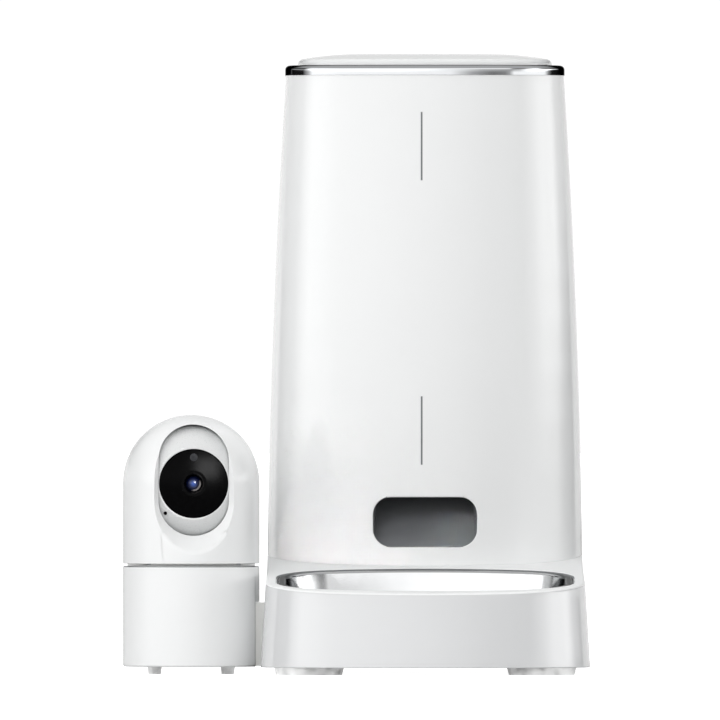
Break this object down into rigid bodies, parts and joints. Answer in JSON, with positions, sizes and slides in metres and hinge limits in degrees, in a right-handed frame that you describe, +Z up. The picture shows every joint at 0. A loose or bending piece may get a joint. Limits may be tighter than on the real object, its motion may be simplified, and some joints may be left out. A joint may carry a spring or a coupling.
{
  "type": "pet feeder with camera",
  "caption": "Automatic dry-food feeder: white tapered hopper tower with a lift-off lid, sloped tray with a steel bowl, and a docked pan and tilt camera.",
  "frame": {"origin": "floor level, at the middle of the whole product's footprint box, camera included", "axes": "+Z up, -Y towards the bowl and the front, +X to the right of someone looking at the front"},
  "size_m": [0.2478, 0.3, 0.3299],
  "materials": {
    "white_gloss": "gloss",
    "white_satin": "satin",
    "grey_plastic": "satin",
    "dark_plastic": "matt",
    "black_gloss": "gloss",
    "polished_steel": "polished",
    "steel": "plain",
    "cell_can": "plain",
    "motor_can": "plain",
    "circuit_board": "satin",
    "foot_rubber": "satin",
    "seal_rubber": "matt",
    "lens_glass": "polished"
  },
  "bodies": {
    "feeder": {"base_shell": "white_gloss", "base_plate": "white_satin", "battery_box": "dark_plastic", "battery_cells": "cell_can", "battery_door": "white_satin", "base_feet": "foot_rubber", "base_screws": "steel", "main_board": "circuit_board", "power_socket": "steel", "tower_shell": "white_gloss", "rotor_housing": "white_satin", "hopper_funnel": "white_satin", "outlet_chute": "grey_plastic", "portion_guard": "grey_plastic", "shaft_bush": "grey_plastic", "gear_motor": "motor_can", "motor_bracket": "dark_plastic", "motor_screws": "steel", "dock_bracket": "white_satin", "dock_screws": "steel", "camera_base_shell": "white_gloss", "camera_base_plate": "white_satin", "camera_feet": "foot_rubber", "camera_base_screws": "steel", "pan_motor": "motor_can", "camera_board": "circuit_board", "speaker": "dark_plastic", "camera_socket": "steel"},
    "bowl": {"steel_bowl": "polished_steel"},
    "lid": {"lid_cover": "white_gloss", "lid_trim_ring": "polished_steel", "lid_liner": "white_satin", "lid_seal": "seal_rubber", "desiccant_cup": "white_satin"},
    "desiccant_cap": {"desiccant_cap": "grey_plastic"},
    "rotor": {"feed_rotor": "grey_plastic", "rotor_wipers": "seal_rubber", "rotor_shaft": "steel", "stirrer": "grey_plastic", "drive_gear": "white_satin"},
    "pinion": {"motor_pinion": "steel"},
    "feed_button": {"feed_button": "grey_plastic"},
    "reset_button": {"reset_button": "dark_plastic"},
    "camera_head": {"head_turntable": "white_satin", "head_front_shell": "white_gloss", "head_rear_shell": "white_gloss", "head_screws": "steel", "pan_shaft": "steel", "tilt_shaft": "steel", "tilt_pivot_pin": "steel"},
    "camera_eye": {"eye_front_shell": "white_satin", "eye_rear_shell": "white_satin", "face_cover": "black_gloss", "lens_barrel": "black_gloss", "lens_glass": "lens_glass", "sensor_window": "lens_glass", "sensor_board": "circuit_board", "tilt_motor": "motor_can"}
  },
  "joints": [
    {"name": "lid_lift", "type": "slide", "parent": "feeder", "child": "lid", "axis": [0, 0, 1], "range_m": [0, 0.09]},
    {"name": "desiccant_twist", "type": "hinge", "parent": "lid", "child": "desiccant_cap", "pos_m": [0.0366, 0.0667, 0.2991], "axis": [0, 0, 1], "range_deg": [0, 40]},
    {"name": "bowl_lift", "type": "slide", "parent": "feeder", "child": "bowl", "axis": [0, -0.1028, 0.9947], "range_m": [0, 0.06]},
    {"name": "rotor_turn", "type": "hinge", "parent": "feeder", "child": "rotor", "pos_m": [0.0366, 0.0767, 0.13], "axis": [0, 0, 1], "continuous": true},
    {"name": "pinion_turn", "type": "hinge", "parent": "feeder", "child": "pinion", "pos_m": [0.0366, 0.1087, 0.11], "axis": [0, 0, 1], "continuous": true},
    {"name": "feed_press", "type": "slide", "parent": "feeder", "child": "feed_button", "axis": [0, -1, 0], "range_m": [0, 0.001], "stiffness_N_per_m": 400, "springref_m": -0.0005},
    {"name": "reset_press", "type": "slide", "parent": "feeder", "child": "reset_button", "axis": [0, -1, 0], "range_m": [0, 0.0006], "stiffness_N_per_m": 300, "springref_m": -0.0004},
    {"name": "camera_pan", "type": "hinge", "parent": "feeder", "child": "camera_head", "pos_m": [-0.0876, -0.045, 0.058], "axis": [0, 0, 1], "range_deg": [-170, 170]},
    {"name": "camera_tilt", "type": "hinge", "parent": "camera_head", "child": "camera_eye", "pos_m": [-0.0876, -0.045, 0.1012], "axis": [0.9984, 0.0558, 0], "range_deg": [-40, 25]}
  ],
  "couplings": [
    {"joint": "pinion_turn", "follows": "rotor_turn", "ratio": -3}
  ]
}
